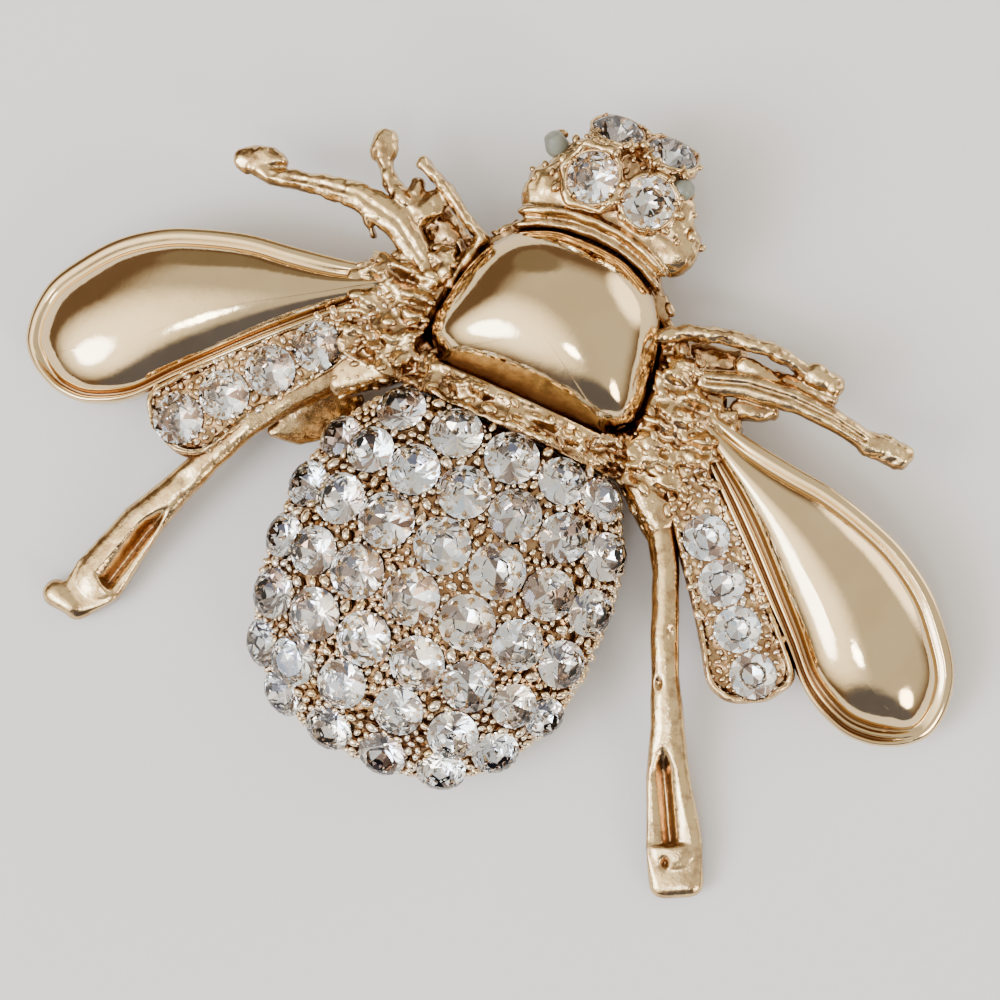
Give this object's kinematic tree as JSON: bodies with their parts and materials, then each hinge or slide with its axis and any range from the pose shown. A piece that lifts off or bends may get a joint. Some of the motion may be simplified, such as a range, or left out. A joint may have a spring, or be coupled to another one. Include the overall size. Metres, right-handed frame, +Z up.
{
  "type": "bee brooch",
  "caption": "Gold-tone bee brooch with polished wings and thorax and a domed abdomen paved with clear stones, lying on its back on its pin fitting and tail.",
  "frame": {"origin": "under the middle of the bounding box, on the surface that the brooch lies on", "axes": "+X toward the bee's right wing, +Y toward its head, +Z up from the surface"},
  "size_m": [0.0565, 0.0393, 0.0092],
  "materials": {
    "cast_gold": "cast and plated, with darkened hollows",
    "polished_gold": "mirror polished plating",
    "pin_metal": "plain plated metal",
    "clear_stone": "cut glass with a foil back",
    "milky_eye": "milky gloss"
  },
  "bodies": {
    "root": {"wing_frame": "cast_gold", "thorax_dome": "polished_gold", "abdomen_setting": "cast_gold", "abdomen_stones": "clear_stone", "head_setting": "cast_gold", "pin_bar": "pin_metal", "wing_stone_left_1": "clear_stone", "wing_stone_left_2": "clear_stone", "wing_stone_left_3": "clear_stone", "wing_stone_left_4": "clear_stone", "wing_stone_right_1": "clear_stone", "wing_stone_right_2": "clear_stone", "wing_stone_right_3": "clear_stone", "wing_stone_right_4": "clear_stone", "head_stone_left": "clear_stone", "head_stone_right": "clear_stone", "front_stone_left": "clear_stone", "front_stone_right": "clear_stone", "eye_left": "milky_eye", "eye_right": "milky_eye"}
  },
  "joints": []
}
